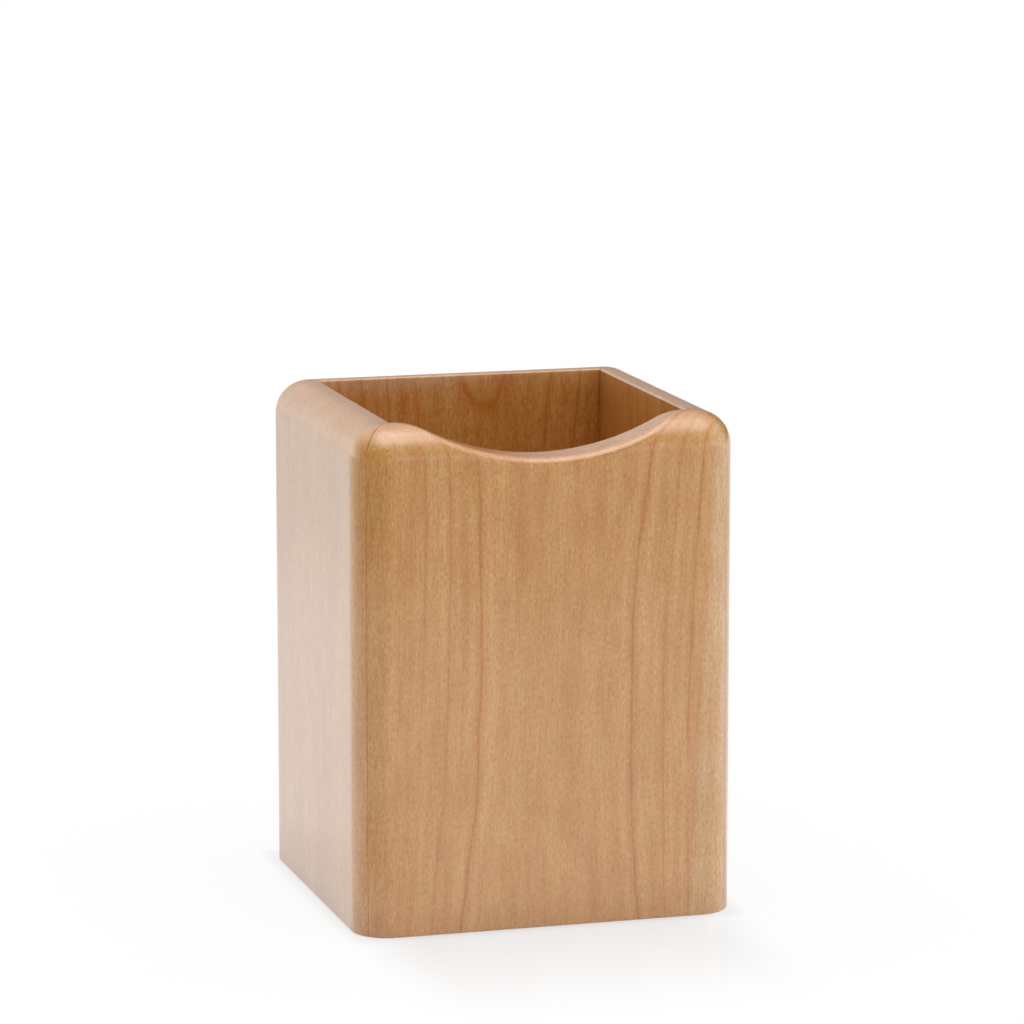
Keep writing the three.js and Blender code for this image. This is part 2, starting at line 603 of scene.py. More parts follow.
    def _rings(self, place: Place) -> tuple[Field, ...]:
        """Draws the years' rings.

        Args:
            place: where in the log.

        Returns:
            The dark lines between the rings, the pale wood beside them, the sapwood, and how far
            the fibres wander sideways.
        """
        figure = self.figure
        x, y, z = place
        slow = self._noise(place, Noise.SLOW_WAVE) - 0.5
        quick = self._noise(place, Noise.QUICK_WAVE) - 0.5
        up = z - self.MIDDLE
        side = x - figure.pith_side - up * figure.pith_lean
        level = up / self.BOW_HEIGHT
        depth = figure.pith_depth - level * level * figure.pith_bow - y
        by_slow, by_quick = self.RING_WAVES
        radius = self.maths("SQRT", side * side + depth * depth) + slow * by_slow + quick * by_quick
        count = (radius - figure.first_ring) / figure.ring_spacing
        nearest = self.maths("FLOOR", count + 0.5)
        away = self.maths("ABSOLUTE", count - nearest)
        values = {"W": nearest + figure.seed}
        chance = self.field("ShaderNodeTexWhiteNoise", {"noise_dimensions": "1D"}, values)
        faint = 1.0 - self._bell(count - figure.faint_ring, *self.FAINT_RING)
        before, after = self.QUIET_EDGE
        quiet = self.rise(x, figure.quiet_from - before, figure.quiet_from + after)
        quiet = quiet * (1.0 - self.QUIET_LEVEL) + self.QUIET_LEVEL
        sapwood_at = (figure.sapwood_from, figure.sapwood_from + self.SAPWOOD_EDGE)
        sapwood = self.rise(side - up * self.SAPWOOD_LEAN, *sapwood_at)
        strength = (chance * (1.0 - self.LEAST_LINE) + self.LEAST_LINE) * faint * quiet
        strength *= self.rise(self._noise(place, Noise.BREAK), *self.BREAKS)
        strength = strength * (1.0 - sapwood * self.SAPWOOD_QUIET) * self.finish.ring_strength
        late = self._bell(away, *self.SHARP_LINE) + self._bell(away, *self.SOFT_LINE)
        early = self._bell(away - self.EARLY_AT, self.EARLY_WIDTH)
        by_slow, by_quick = self.FIBRE_WAVES
        wander = slow * by_slow + quick * by_quick - up * figure.pith_lean * self.FIBRE_LEAN
        return late * strength, early * strength, sapwood, wander

    def _bell(self, value: Field, width: float, top: float = 1.0) -> Field:
        """Makes a bell curve of a value, with a given half width and top."""
        return self.maths("EXPONENT", value * value * (-1.0 / (width * width))) * top

    def _wood(self, grain: Grain) -> Field:
        """Puts the wood's colour together, with painted shade on faces turned down and near the
        floor.

        Args:
            grain: what the cut shows, and the masks of the painted shade.

        Returns:
            The colour.
        """
        finish = self.finish
        fine = (grain.streak - 0.5) * finish.streak_share + (grain.fleck - 0.5) * finish.fleck_share
        broad = grain.band - 0.5 + (grain.mottle - 0.5) * finish.mottle_share
        tone = self.maths("ADD", fine, 0.5, clamp=True)
        hue = self.maths("ADD", broad + 0.5, grain.early * finish.early_share, clamp=True)
        tint = self.maths("ADD", (grain.tint - 0.5) * finish.tint_share, 0.5, clamp=True)
        layers = [
            (1.0, self.mix(hue, finish.warm, finish.cool)),
            (1.0, self.mix(tint, finish.rose, finish.straw)),
            (grain.sapwood, finish.sapwood),
            (grain.late, finish.late),
            (grain.pore, finish.pore),
            (grain.end * finish.end_share, finish.end_grain),
            # Painted shade: darker on faces turned down and near the floor.
            (grain.under * finish.under_shade_share, finish.underside_shade),
            (grain.foot * finish.foot_shade_share, finish.foot),
        ]
        if finish.joint_at is not None:
            layers.append((self._joint() * finish.glue_share, finish.glue))
        colour = self.mix(tone, finish.deep, finish.pale)
        for share, shade in layers:
            colour = self.mix(share, colour, shade, "MULTIPLY")
        return colour

    def _joint(self) -> Field:
        """Marks the fine dark line where two boards meet.

        Returns:
            1 on the line along the top, next to nothing down the edge, 0 away from it.
        """
        x, y, _ = self.split(self.place())
        apart = self.maths("ABSOLUTE", x) - self.maths("ABSOLUTE", y) - self.finish.joint_at
        line = self.fall(self.maths("ABSOLUTE", apart), *self.finish.glue_reach)
        top = self.rise(self.split(self.facing())[2], *self.TOP_FACING)
        return line * (top * (1.0 - self.GLUE_ON_EDGE) + self.GLUE_ON_EDGE)


class Stretch(Enum):
    """The stretches of a board's section in the order they are drawn, with their steps."""

    LOWER_FACE = (0, 10)
    UPPER_FACE = (1, 44)
    SCOOP_EDGE = (2, 8)
    RIM = (3, 6)
    RIM_EDGE = (4, 6)
    INNER_FACE = (5, 24)
    GROOVE_TOP = (6, 2)
    GROOVE_BACK = (7, 2)
    GROOVE_FLOOR = (8, 2)
    INNER_FOOT = (9, 3)
    INNER_FOOT_EDGE = (10, 4)
    SOLE = (11, 5)
    OUTER_FOOT_EDGE = (12, 4)

    @property
    def steps(self) -> int:
        """How many steps the stretch is drawn in."""
        return self.value[1]

    @property
    def start(self) -> int:
        """How many steps come before it."""
        return sum(other.steps for other in Stretch if other.value[0] < self.value[0])

    @classmethod
    def total(cls) -> int:
        """Steps once round the section."""
        return sum(stretch.steps for stretch in cls)


class BoardRule(NodeSheet):
    """The rule of a wall board, as a geometry node tree.

    The board lies along the first axis, with its outer face towards the second one's negative
    side. Its section is carried from mitre to mitre, half-way round the rounded corner at each
    end, and its top follows the finger scoop. Both mitres are left open.
    """

    ARC_STEPS = 18
    FINE_FROM = 10.0 * MM

    def __init__(self, lengths: list[str]) -> None:
        """Makes the tree.

        Args:
            lengths: the names of the lengths that it is given.
        """
        super().__init__(bpy.data.node_groups.new("wall_board_rule", "GeometryNodeTree"))
        inputs = {name: "NodeSocketFloat" for name in lengths}
        inputs |= {"steps_along": "NodeSocketInt", "finish": "NodeSocketMaterial"}
        interface = self.tree.interface
        for name, kind in inputs.items():
            interface.new_socket(name, in_out="INPUT", socket_type=kind)
        interface.new_socket("Board", in_out="OUTPUT", socket_type="NodeSocketGeometry")
        self.given = self.node("NodeGroupInput")
        self._lay_out()

    def size(self, name: str) -> Field:
        """Gives one of the named inputs."""
        return self.output(self.given, name)

    def identifiers(self) -> dict[str, str]:
        """Gives the identifier of each named input."""
        items = self.tree.interface.items_tree
        return {item.name: item.identifier for item in items if item.in_out == "INPUT"}

    def _lay_out(self) -> None:
        """Draws the sheet of points, sets each one in its place and finishes the mesh."""
        arc = self.ARC_STEPS
        around_steps = Stretch.total()
        straight = self.size("steps_along")
        along = straight + 2.0 * arc
        values = {0: 1.0, 1: 1.0, 2: along + 1.0, 3: around_steps + 1}
        grid = self.field("GeometryNodeMeshGrid", None, values)
        across, around, _ = self.split(self.field("GeometryNodeInputPosition"))
        column = (across + 0.5) * along
        row = (around + 0.5) * float(around_steps)
        left = self.maths("DIVIDE", column, float(arc), clamp=True)
        middle = self.maths("DIVIDE", column - arc, straight, clamp=True)
        right = self.maths("DIVIDE", column - arc - straight, float(arc), clamp=True)
        gone = {stretch: self._gone(row, stretch) for stretch in Stretch}
        values = {0: grid, 2: self._spot(gone, left, middle, right)}
        moved = self.field("GeometryNodeSetPosition", None, values)
        values = {0: moved, "Distance": MERGE_DISTANCE}
        welded = self.field("GeometryNodeMergeByDistance", None, values)
        real = self.field("GeometryNodeRealizeInstances", None, {0: welded})
        values = {0: real, "Material": self.size("finish")}
        dressed = self.field("GeometryNodeSetMaterial", None, values)
        self.node("NodeGroupOutput", None, {0: dressed})

    def _gone(self, row: Field, stretch: Stretch) -> Field:
        """Says how much of a stretch lies behind a row, from 0 to 1."""
        return self.maths("DIVIDE", row - stretch.start, float(stretch.steps), clamp=True)

    def _top_height(self, x: Field) -> Field:
        """Gives the height of the board's top at a place along it.

        Args:
            x: place along the board, from its middle.

        Returns:
            The height, which dips in the scoop.
        """
        height = self.size("height")
        hollow = self.size("scoop_radius")
        swell = self.size("scoop_end_radius")
        rise = hollow + swell - self.size("scoop_depth")
        reach = self.maths("SQRT", (hollow + swell) * (hollow + swell) - rise * rise)
        change = reach * hollow / (hollow + swell)
        away = self.maths("ABSOLUTE", x)
        inside = self.maths("LESS_THAN", away, change)
        hollow_square = self.maths("MAXIMUM", hollow * hollow - away * away, 0.0)
        arc = height - self.size("scoop_depth") + hollow - self.maths("SQRT", hollow_square)
        short = self.maths("MAXIMUM", reach - away, 0.0)
        swell_square = self.maths("MAXIMUM", swell * swell - short * short, 0.0)
        end = height - swell + self.maths("SQRT", swell_square)
        return self.blend(inside, end, arc)

    def _spot(self, gone: dict[Stretch, Field], left: Field, middle: Field, right: Field) -> Field:
        """Gives the place of every point of the board's skin.

        Args:
            gone: how much of each stretch of the section lies behind a point.
            left: how far it has come along the left corner's arc.
            middle: how far along the straight.
            right: how far along the right corner's arc.

        Returns:
            The place, as a vector.
        """
        half = self.size("length") / 2.0
        face = self.size("distance") / 2.0
        edge = self.size("edge_radius")
        round_top = self.size("top_radius")
        foot = self.size("foot_easing")
        rim = self.size("rim_easing")
        wall = self.size("wall")
        left_turn = (1.0 - left) * QUARTER_PI
        right_turn = right * QUARTER_PI
        lean = self.maths("SINE", right_turn) - self.maths("SINE", left_turn)
        square = self.maths("COSINE", right_turn) * self.maths("COSINE", left_turn)
        outer_x = (half - edge) * (middle * 2.0 - 1.0)
        run = outer_x + (edge - round_top) * (right_turn - left_turn)
        full_run = half - edge + (edge - round_top) * QUARTER_PI
        inner_half = half - wall
        inner_x = run * inner_half / full_run
        over = gone[Stretch.RIM] - gone[Stretch.SOLE]

        top = self._top_height(outer_x)
        inset, rise = self._outside(gone, top)
        down_start = self._top_height(self.blend(gone[Stretch.RIM], outer_x, inner_x))
        rim_turn = gone[Stretch.RIM_EDGE] * HALF_PI
        foot_turn = gone[Stretch.INNER_FOOT_EDGE] * HALF_PI
        last_turn = gone[Stretch.OUTER_FOOT_EDGE] * HALF_PI
        below = rise + down_start - top - rim * (1.0 - self.maths("COSINE", rim_turn))
        groove_top = self.size("groove_top")
        groove_floor = self.size("groove_floor")
        height = self.blend(gone[Stretch.INNER_FACE], below, groove_top)
        height -= gone[Stretch.GROOVE_BACK] * (groove_top - groove_floor)
        height -= gone[Stretch.INNER_FOOT] * (groove_floor - foot)
        height -= foot * self.maths("SINE", foot_turn)
        height += foot * (1.0 - self.maths("COSINE", last_turn))

        in_wood = rim * (1.0 - self.maths("SINE", rim_turn))
        in_wood += foot * (1.0 - self.maths("COSINE", foot_turn))
        cut = gone[Stretch.GROOVE_TOP] - gone[Stretch.GROOVE_FLOOR]
        in_wood += cut * self.size("groove_depth")
        inner_place_x = inner_x * (in_wood / inner_half + 1.0)
        inner_place_y = wall - face - in_wood

        low_inset = foot * (1.0 - self.maths("SINE", last_turn))
        inset = self.blend(gone[Stretch.GROOVE_BACK], inset, low_inset)
        outer_place_x = outer_x + (edge - inset) * lean
        outer_place_y = edge - face - (edge - inset) * square
        shift = (left_turn - right_turn) * self.size("glue_line") / (QUARTER_PI * math.sqrt(2))
        x = self.blend(over, outer_place_x, inner_place_x) + shift
        y = self.blend(over, outer_place_y, inner_place_y)
        return self.combine(x, y, height)

    def _outside(self, gone: dict[Stretch, Field], top: Field) -> tuple[Field, Field]:
        """Follows the outside face up, round the top edge and over the scoop's eased edge.

        Args:
            gone: how much of each stretch lies behind a point.
            top: height of the board's top there.

        Returns:
            How far in from the outer face a point lies, and its height.
        """
        height = self.size("height")
        radius = self.size("top_radius")
        ease = self.size("scoop_easing")
        foot = self.size("foot_easing")
        shoulder = height - radius
        start = shoulder - self.FINE_FROM
        centre = top - ease
        share = self.maths("DIVIDE", centre - shoulder, radius - ease, clamp=True)
        meet = self.maths("ARCSINE", share)
        way = self.maths("MINIMUM", centre, shoulder) - start + radius * meet
        walked = gone[Stretch.UPPER_FACE] * way
        turned = self.maths("MAXIMUM", walked - self.FINE_FROM, 0.0) / radius
        climbed = self.maths("MINIMUM", walked, self.FINE_FROM)
        roll = self.blend(gone[Stretch.SCOOP_EDGE], meet, HALF_PI)
        inset = radius * (1.0 - self.maths("COSINE", turned))
        inset += ease * (self.maths("COSINE", meet) - self.maths("COSINE", roll))
        rise = foot + gone[Stretch.LOWER_FACE] * (start - foot) + climbed
        rise += radius * self.maths("SINE", turned)
        rise += ease * (self.maths("SINE", roll) - self.maths("SINE", meet))
        return inset, rise


class Piece:
    """What every finished piece goes through: its mesh is tidied and it joins the holder."""

    @staticmethod
    def finish(
        name: str, mesh: bpy.types.Mesh, material: bpy.types.Material, slot: str, node: str
    ) -> None:
        """Makes a piece of a mesh and puts it in the place of a node.

        Args:
            name: the piece's name.
            mesh: its mesh, already in place.
            material: its material.
            slot: the record's material slot; not used.
            node: the node that it stands for.
        """
        work = bmesh.new()
        work.from_mesh(mesh)
        bmesh.ops.recalc_face_normals(work, faces=work.faces)
        for face in work.faces:
            face.smooth = True
        for edge in work.edges:
            edge.smooth = len(edge.link_faces) == 2 and edge.calc_face_angle() < SHARP_ANGLE
        work.to_mesh(mesh)
        work.free()
        mesh.name = name
        mesh.materials.clear()
        mesh.materials.append(material)
        piece = new_object(name, mesh)
        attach(piece, BODY)
        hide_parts(node)
        log.info("%s: %d faces", name, len(mesh.polygons))


@dataclass
class WallRing:
    """The four mitred boards that make the walls.

    The lengths that they share go by the names of the holder's sizes.
    """

    SHARED = (
        "height", "wall", "edge_radius", "top_radius", "scoop_radius", "scoop_end_radius",
        "scoop_easing", "rim_easing", "foot_easing", "glue_line", "groove_floor", "groove_top",
        "groove_depth",
    )

    sizes: HolderSizes
    finishes: dict[Side, WoodFinish]
    scooped: Side = Side.FRONT
    fine_steps: int = 96
    plain_steps: int = 24
    slot: str = "lacquered_wood"

    def build(self) -> None:
        """Makes the four boards."""
        rule = BoardRule(list(self._lengths(self.scooped)))
        for side in Side:
            self._board(side, rule)

    def _board(self, side: Side, rule: BoardRule) -> None:
        """Makes one board in its place.

        Args:
            side: which wall it is.
            rule: the rule that its skin follows.
        """
        material = self.finishes[side].make()
        lengths = self._lengths(side)
        mesh = self._skin(side, rule, lengths, material)
        work = bmesh.new()
        work.from_mesh(mesh)
        for way in (-1, 1):
            self._close_mitre(work, lengths["length"], lengths["distance"], way)
        bmesh.ops.transform(work, matrix=Matrix.Rotation(side.turn, 4, "Z"), verts=work.verts)
        work.to_mesh(mesh)
        work.free()
        Piece.finish(f"wall_{side.name.lower()}", mesh, material, self.slot, side.node)

    def _lengths(self, side: Side) -> dict[str, float]:
        """Gives the lengths that a board's rule asks for.

        Args:
            side: which wall it is.

        Returns:
            The lengths by name. The distance is from the board's face to that of the board
            across.
        """
        sizes = self.sizes
        ways = (sizes.width, sizes.depth)
        length, distance = ways if side in (Side.FRONT, Side.BACK) else reversed(ways)
        scoop_depth = sizes.scoop_depth if side is self.scooped else 0.0
        own = {"length": length, "distance": distance, "scoop_depth": scoop_depth}
        return own | {name: getattr(sizes, name) for name in self.SHARED}

    def _skin(
        self, side: Side, rule: BoardRule, lengths: dict[str, float], material: bpy.types.Material
    ) -> bpy.types.Mesh:
        """Runs the board rule and takes its mesh.

        Args:
            side: which wall it is.
            rule: the rule.
            lengths: the lengths that it asks for.
            material: the board's material.

        Returns:
            The skin, open at both mitres.
        """
        steps = self.fine_steps if side is self.scooped else self.plain_steps
        given = lengths | {"steps_along": steps, "finish": material}
        name = f"{side.name.lower()}_skin"
        blank = new_object(name, bpy.data.meshes.new(name))
        modifier = blank.modifiers.new("rule", "NODES")
        modifier.node_group = rule.tree
        for key, identifier in rule.identifiers().items():
            modifier[identifier] = given[key]
        view = bpy.context.evaluated_depsgraph_get()
        mesh = bpy.data.meshes.new_from_object(blank.evaluated_get(view), depsgraph=view)
        bpy.data.objects.remove(blank)
        return mesh

    def _close_mitre(
        self, work: bmesh.types.BMesh, length: float, distance: float, way: int
    ) -> None:
        """Closes one end of a board with its mitre face and the slot for the tongue in it.

        Args:
            work: the board's mesh.
            length: the board's length.
            distance: from the board's face to that of the board across.
            way: -1 for the left end, 1 for the right one.
        """
        sizes = self.sizes
        rim = [edge for edge in work.edges if edge.is_boundary and edge.verts[0].co.x * way > 0]
        corner = Vector((way * (length / 2 - sizes.wall), sizes.wall - distance / 2, 0))
        outward = Vector((way, -1, 0)).normalized()
        inward = Vector((-way, -1, 0)).normalized()
        flush = corner + inward * (sizes.glue_line / 2)
        low, high = sizes.tongue_span
        low, high = low - sizes.fit, high + sizes.fit
        start, end = sizes.slot_start, sizes.slot_end
        deep = sizes.tongue_width / 2 + sizes.fit - sizes.glue_line / 2
        mouth = []
        floor = []
        for reach, height in ((start, low), (end, low), (end, high), (start, high)):
            point = flush + outward * reach + Vector((0, 0, height))
            mouth.append(work.verts.new(point))
            floor.append(work.verts.new(point + inward * deep))
        for i in range(4):
            j = (i + 1) % 4
            work.faces.new((mouth[i], mouth[j], floor[j], floor[i]))
            rim.append(work.edges.get((mouth[i], mouth[j])))
        work.faces.new(floor)
        normal = Vector((way, 1, 0)).normalized()
        bmesh.ops.triangle_fill(work, use_beauty=True, edges=rim, normal=normal)


@dataclass(frozen=True)
class Loop:
    """A level rectangle with rounded corners, in metres."""

    half_x: float
    half_y: float
    height: float
    radius: float

    def points(self, steps: int) -> list[Vector]:
        """Gives the points of its corners' arcs, against the clock.

        Args:
            steps: steps in each arc.

        Returns:
            The points.
        """
        made = []
        for quarter, (side_x, side_y) in enumerate(((1, 1), (-1, 1), (-1, -1), (1, -1))):
            for step in range(steps + 1):
                angle = (quarter + step / steps) * HALF_PI
                x = side_x * (self.half_x - self.radius) + self.radius * math.cos(angle)
                y = side_y * (self.half_y - self.radius) + self.radius * math.sin(angle)
                made.append(Vector((x, y, self.height)))
        return made


class LoopStack:
    """A closed solid skinned over level loops, one above another."""

    STEPS = 4
    CORNER_TO_EASE = 1.2

    @classmethod
    def mesh(cls, name: str, loops: list[Loop], placing: Matrix) -> bpy.types.Mesh:
        """Makes the solid.

        Args:
            name: the mesh's name.
            loops: the loops, from the bottom up.
            placing: turns and moves the solid to its place.

        Returns:
            The mesh.
        """
        work = bmesh.new()
        rings = [[work.verts.new(placing @ p) for p in loop.points(cls.STEPS)] for loop in loops]
        for lower, upper in zip(rings, rings[1:]):
            for i in range(len(lower)):
                j = (i + 1) % len(lower)
                work.faces.new((lower[i], lower[j], upper[j], upper[i]))
        work.faces.new(list(reversed(rings[0])))
        work.faces.new(rings[-1])
        mesh = bpy.data.meshes.new(name)
        work.to_mesh(mesh)
        work.free()
        return mesh

    @classmethod
    def eased(cls, half_x: float, half_y: float, height: float, ease: float, up: int) -> list[Loop]:
        """Gives the loops of an eased level edge.

        Args:
            half_x: half the solid's size along the first axis.
            half_y: half its size along the second one.
            height: of the level face that the edge borders.
            ease: radius of the eased edge.
            up: 1 where the level face is on top, -1 where it is below.

        Returns:
            The loops, from the bottom up.
        """
        made = []
        for step in range(cls.STEPS + 1):
            angle = HALF_PI * step / cls.STEPS
            inset = ease * (1 - math.cos(angle))
            level = height - up * ease * (1 - math.sin(angle))
            made.append(Loop(half_x - inset, half_y - inset, level, cls.CORNER_TO_EASE * ease))
        return made if up > 0 else made[::-1]


@dataclass
class BasePanel:
    """The bottom panel, with its middle hung into the well and its edge in the groove."""

    sizes: HolderSizes
    finish: WoodFinish
    ease: float = 0.6 * MM
    edge_ease: float = 0.4 * MM
    slot: str = "panel_wood"
    node: str = "base_board"

    def build(self) -> None:
        """Makes the panel in its place."""
        sizes = self.sizes
        low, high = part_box(self.node)
        middle_x = sizes.width / 2 - sizes.wall - sizes.fit
        middle_y = sizes.depth / 2 - sizes.wall - sizes.fit
        ledge = sizes.groove_floor
        loops = LoopStack.eased(middle_x, middle_y, low.z, self.ease, -1)
        loops.append(Loop(middle_x, middle_y, ledge, LoopStack.CORNER_TO_EASE * self.ease))
        loops += LoopStack.eased(high.x, high.y, ledge, self.edge_ease, -1)
        loops += LoopStack.eased(high.x, high.y, high.z, self.edge_ease, 1)
        mesh = LoopStack.mesh("bottom_panel", loops, Matrix.Identity(4))
        Piece.finish("bottom_panel", mesh, self.finish.make(), self.slot, self.node)


@dataclass
class CornerTongues:
    """The loose tongues that are glued across the mitres, out of sight."""

    sizes: HolderSizes
    finishes: dict[Corner, WoodFinish]
    ease: float = 0.35 * MM
    slot: str = "tongue_wood"

    def build(self) -> None:
        """Makes the four tongues."""
        for corner in Corner:
            self._tongue(corner)

    def _tongue(self, corner: Corner) -> None:
        """Makes one tongue in its place.

        Args:
            corner: where it goes.
        """
        sizes = self.sizes
        low, high = sizes.tongue_span
        half_x = sizes.tongue_thickness / 2
        half_y = sizes.tongue_width / 2
        loops = LoopStack.eased(half_x, half_y, low, self.ease, -1)
        loops += LoopStack.eased(half_x, half_y, high, self.ease, 1)
        across_x, across_y = corner.value
        angle = math.atan2(across_y, across_x)
        reach = (sizes.slot_start + sizes.slot_end) / 2
        x = across_x * (sizes.width / 2 - sizes.wall) + reach * math.cos(angle)
        y = across_y * (sizes.depth / 2 - sizes.wall) + reach * math.sin(angle)
        placing = Matrix.Translation((x, y, 0)) @ Matrix.Rotation(angle, 4, "Z")
        name = f"tongue_{corner.name.lower()}"
        mesh = LoopStack.mesh(name, loops, placing)
        Piece.finish(name, mesh, self.finishes[corner].make(), self.slot, corner.node)


@dataclass
class Camera:
    """The camera, where the photograph was taken from."""

    target: Triple = (0.002665, -0.000779, 0.079258)
    azimuth: float = math.radians(-16.29)
    elevation: float = math.radians(10.15)
    distance: float = 1.0185
    lens: float = 172.03
    sensor: float = 36.0
    clip: Pair = (0.05, 50.0)

    def build(self) -> None:
        """Makes the camera and gives it to the scene."""
        data = bpy.data.cameras.new("camera")
        data.lens = self.lens
        data.sensor_width = self.sensor
        data.clip_start, data.clip_end = self.clip
        camera = new_object("camera", data)
        level = math.cos(self.elevation)
        x = math.sin(self.azimuth) * level
        y = -math.cos(self.azimuth) * level
        back = Vector((x, y, math.sin(self.elevation)))
        camera.location = Vector(self.target) + back * self.distance
        camera.rotation_euler = back.to_track_quat("Z", "Y").to_euler()
        bpy.context.scene.camera = camera


@dataclass(frozen=True)
class Surround:
    """How bright a studio is all round, as the holder is lit by it and mirrors it.

    Each ring lies at a height, in degrees, and has a level for every eighth of a turn, from
    straight behind the holder past its left side, its front and its right side.
    """

    rings: tuple[tuple[float, tuple[float, ...]], ...] = (
        (5.0, (0.50, 1.65, 0.36, 0.14, 0.36, 1.60, 0.80, 0.0)),
        (22.0, (0.74, 0.88, 0.05, 0.0, 0.06, 0.88, 0.63, 0.0)),
        (45.0, (0.94, 1.05, 0.32, 0.29, 0.29, 0.96, 0.80, 0.58)),
        (65.0, (1.34, 1.38, 1.43, 2.12, 2.82, 2.11, 1.40, 1.37)),
    )
    overhead_from: float = 75.0
    overhead: float = 2.53

    def build(self) -> None:
        """Makes the surround, which the camera sees as plain white."""
        world = bpy.data.worlds.new("surround")
        bpy.context.scene.world = world
        sheet = NodeSheet.on(world)
        level = sheet.blend(sheet.ray("Camera"), self._level(sheet), 1.0)
        values = {"Color": (1, 1, 1, 1), "Strength": level}
        background = sheet.field("ShaderNodeBackground", None, values)
        sheet.node("ShaderNodeOutputWorld", None, {0: background})

    def _level(self, sheet: NodeSheet) -> Field:
        """Gives the level in the direction of a ray.

        Args:
            sheet: the world's node sheet.

        Returns:
            The level.
        """
        direction = sheet.output(sheet.node("ShaderNodeTexCoord"), "Generated")
        x, y, z = sheet.split(direction)
        up = sheet.maths("DEGREES", sheet.maths("ARCSINE", z))
        round_about = sheet.maths("ARCTAN2", x, y * -1.0) / QUARTER_PI + 4.0
        lower, levels = self.rings[0]
        total = self._ring(sheet, round_about, levels)
        for height, levels in self.rings[1:]:
            above = sheet.maths("DIVIDE", up - lower, height - lower, clamp=True)
            total = sheet.blend(above, total, self._ring(sheet, round_about, levels))
            lower = height
        above = sheet.maths("DIVIDE", up - lower, self.overhead_from - lower, clamp=True)
        return sheet.blend(above, total, self.overhead)

    @staticmethod
    def _ring(sheet: NodeSheet, at: Field, levels: tuple[float, ...]) -> Field:
        """Goes round a ring of levels.

        Args:
            sheet: the world's node sheet.
            at: how many eighths of a turn the ray lies from straight behind.
            levels: the level at each eighth.

        Returns:
            The level at that place.
        """
        total = at * 0.0 + levels[0]
        for i, level in enumerate(levels):
            rise = levels[(i + 1) % len(levels)] - level
            total += sheet.maths("SUBTRACT", at, float(i), clamp=True) * rise
        return total


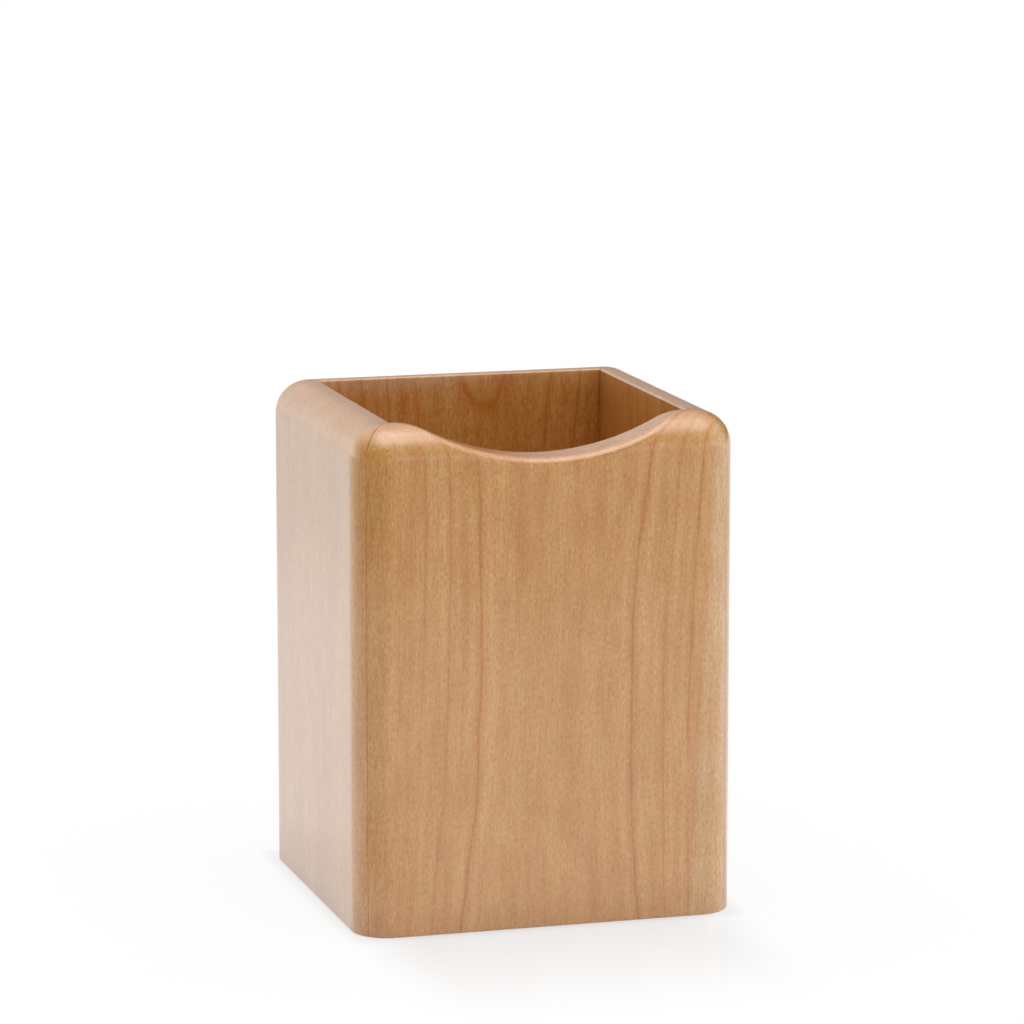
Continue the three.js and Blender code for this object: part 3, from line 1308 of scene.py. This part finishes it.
@dataclass
class Studio:
    """A white floor that keeps the holder's shadow, in a bright surround.

    A reach is a pair of distances from the holder's foot between which something fades, and a
    turn is a pair of cosines of the angle from the front left. The painted shade that dims the
    floor's glow shows only where the holder mirrors it.
    """

    half_floor: float = 4.0
    floor_drop: float = 0.01 * MM
    white: float = 0.86
    soft_shade: float = 0.09
    soft_reach: Pair = (-0.010, 0.080)
    contact_shade: float = 0.35
    contact_reach: Pair = (-0.002, 0.004)
    gloss: float = 0.19
    gloss_roughness: float = 0.10
    mirror_reach: Pair = (-0.005, 0.072)
    mirror_start: Pair = (-0.004, 0.0)
    mirror_ends: Pair = (0.026, 0.044)
    # Painted shade in the floor's glow, seen only in the holder's mirror image.
    distant_painted_shade: float = 0.15
    distant_turned_painted_shade: float = 0.75
    distant_turn: Pair = (0.0, 0.95)
    distant_from: Pair = (0.28, 0.52)
    beside_painted_shade: float = 0.4
    beside_turn: Pair = (0.78, 0.98)
    beside_to: Pair = (0.20, 0.40)
    beside_reach: Pair = (0.010, 0.060)
    foot_painted_shadow: float = 0.12
    foot_reach: Pair = (0.002, 0.030)
    surround: Surround = field(default_factory=Surround)

    def build(self) -> None:
        """Makes the floor and the surround."""
        self._floor()
        self.surround.build()
        bpy.context.scene.view_settings.view_transform = "Standard"

    def _floor(self) -> None:
        """Makes the floor, which is not attached to the holder."""
        ways = ((-1, -1), (1, -1), (1, 1), (-1, 1))
        corners = [(x * self.half_floor, y * self.half_floor, -self.floor_drop) for x, y in ways]
        mesh = bpy.data.meshes.new("floor")
        mesh.from_pydata(corners, [], [(0, 1, 2, 3)])
        floor = new_object("floor", mesh)
        mesh.materials.append(self._floor_finish())

    def _floor_finish(self) -> bpy.types.Material:
        """Makes the floor's material: white, softly shaded, with a faint mirror image in front.

        Returns:
            The material.
        """
        material = bpy.data.materials.new("white_floor")
        sheet = NodeSheet.on(material)
        x, y, _ = sheet.split(sheet.place())
        beside = self._beside(sheet, x, cad_low.x, cad_high.x)
        before = self._beside(sheet, y, cad_low.y, cad_high.y)
        away = sheet.maths("SQRT", beside * beside + before * before)
        shade = sheet.fall(away, *self.soft_reach) * self.soft_shade
        shade += sheet.fall(away, *self.contact_reach) * self.contact_shade
        seen = sheet.maths("MAXIMUM", sheet.ray("Glossy"), sheet.ray("Transmission"))
        seen = sheet.maths("MAXIMUM", sheet.ray("Camera"), seen)
        mirror = sheet.fall(away, *self.mirror_reach)
        mirror *= sheet.rise(cad_low.y - y, *self.mirror_start)
        mirror *= sheet.fall(sheet.maths("ABSOLUTE", x), *self.mirror_ends)
        mirror = mirror * sheet.ray("Camera") * self.gloss
        white = (self.white, self.white, self.white, 1.0)
        diffuse = sheet.field("ShaderNodeBsdfDiffuse", None, {"Color": white})
        level = self._glow(sheet, (x, y), away)
        glow = sheet.field("ShaderNodeEmission", None, {"Strength": level})
        gloss = sheet.field("ShaderNodeBsdfGlossy", None, {"Roughness": self.gloss_roughness})
        values = {0: seen * (1.0 - shade), 1: diffuse, 2: glow}
        lit = sheet.field("ShaderNodeMixShader", None, values)
        top = sheet.field("ShaderNodeMixShader", None, {0: mirror, 1: lit, 2: gloss})
        sheet.node("ShaderNodeOutputMaterial", None, {0: top})
        return material

    @staticmethod
    def _beside(sheet: NodeSheet, place: Field, low: float, high: float) -> Field:
        """Gives how far a place lies outside the holder along one axis."""
        return sheet.maths("MAXIMUM", sheet.maths("MAXIMUM", low - place, place - high), 0.0)

    def _glow(self, sheet: NodeSheet, place: tuple[Field, Field], away: Field) -> Field:
        """Gives the level of the floor's glow, with painted shade in it.

        Args:
            sheet: the material's node sheet.
            place: place to the right and to the back.
            away: distance from the holder's foot.

        Returns:
            The level: 1 where it is seen, and less where the holder mirrors it: a painted shadow at
            the foot, and painted shade far off, most to the front left, and beside it to the front
            left.
        """
        x, y = place
        far = sheet.maths("SQRT", x * x + y * y)
        turn = (x + y) / far * -math.sqrt(0.5)
        # Painted shade far off, most to the front left, and beside the holder to the front left,
        # and a painted shadow at its foot; only glossy rays see it.
        distant = sheet.rise(turn, *self.distant_turn) * self.distant_turned_painted_shade
        distant = (distant + self.distant_painted_shade) * sheet.rise(far, *self.distant_from)
        beside = sheet.rise(turn, *self.beside_turn) * sheet.fall(far, *self.beside_to)
        beside = beside * sheet.rise(away, *self.beside_reach) * self.beside_painted_shade
        foot = sheet.fall(away, *self.foot_reach) * self.foot_painted_shadow
        dim = sheet.maths("MINIMUM", distant + beside + foot, 1.0)
        return 1.0 - sheet.ray("Glossy") * dim


def board_figures(sizes: HolderSizes) -> dict[Side, Figure]:
    """Says where in the log each board was cut.

    Args:
        sizes: the holder's sizes.

    Returns:
        The figure of each board.
    """
    shown = {
        Side.FRONT: (1.35, 0.034, 33.5, 1.25, 37.0, 3.35, 3.0, -1.0, -25.0, 30.3),
        Side.RIGHT: (-21.0, 0.020, 46.0, 0.8, 30.0, 3.10, 11.0),
        Side.BACK: (-4.0, -0.020, 36.0, 1.5, 33.0, 3.60, 23.0),
        Side.LEFT: (48.0, 0.015, 40.0, 0.5, 31.0, 6.90, 31.0, -40.0, 400.0, 400.0, 2.4),
    }
    made = {}
    for side, cut in shown.items():
        across = sizes.depth if side in (Side.FRONT, Side.BACK) else sizes.width
        made[side] = Figure((0.0, 0.0, -side.turn), (0.0, across / 2 / MM, 0.0), *cut)
    return made


def panel_finish() -> WoodFinish:
    """Gives the bottom panel's finish, with the grain lying from left to right."""
    lying = Figure((0.0, HALF_PI, 0.0), (0.0, 20.0, 40.0), 6.0, 0.02, 60.0, 0.0, 40.0, 2.9, 47.0)
    return WoodFinish("panel_wood", lying, roughness=0.5, coat=0.5, coat_roughness=0.3)


def tongue_finish(corner: Corner, number: int) -> WoodFinish:
    """Gives the finish of a corner's tongue, of pale bare wood, by the corner's number."""
    cut = (0.0, 0.0, 90.0, 0.0, 60.0, 2.0, 60.0 + number)
    return WoodFinish(
        f"tongue_wood_{corner.name.lower()}",
        Figure((0.0, 0.0, 0.0), (0.0, 30.0, 0.0), *cut),
        pale=(0.78, 0.56, 0.34),
        deep=(0.62, 0.40, 0.22),
        roughness=0.75,
        coat=0.0,
    )


def main() -> None:
    """Builds the camera, the holder's pieces and the studio."""
    logging.basicConfig(level=logging.INFO, format="%(name)s: %(message)s")
    Camera().build()
    sizes = HolderSizes()
    joint = (sizes.width - sizes.depth) / 2
    boards = {
        side: WoodFinish(f"lacquered_wood_{side.name.lower()}", figure, joint_at=joint)
        for side, figure in board_figures(sizes).items()
    }
    WallRing(sizes, boards).build()
    BasePanel(sizes, panel_finish()).build()
    tongues = {corner: tongue_finish(corner, number) for number, corner in enumerate(Corner)}
    CornerTongues(sizes, tongues).build()
    Studio().build()


if __name__ == "__main__":
    main()
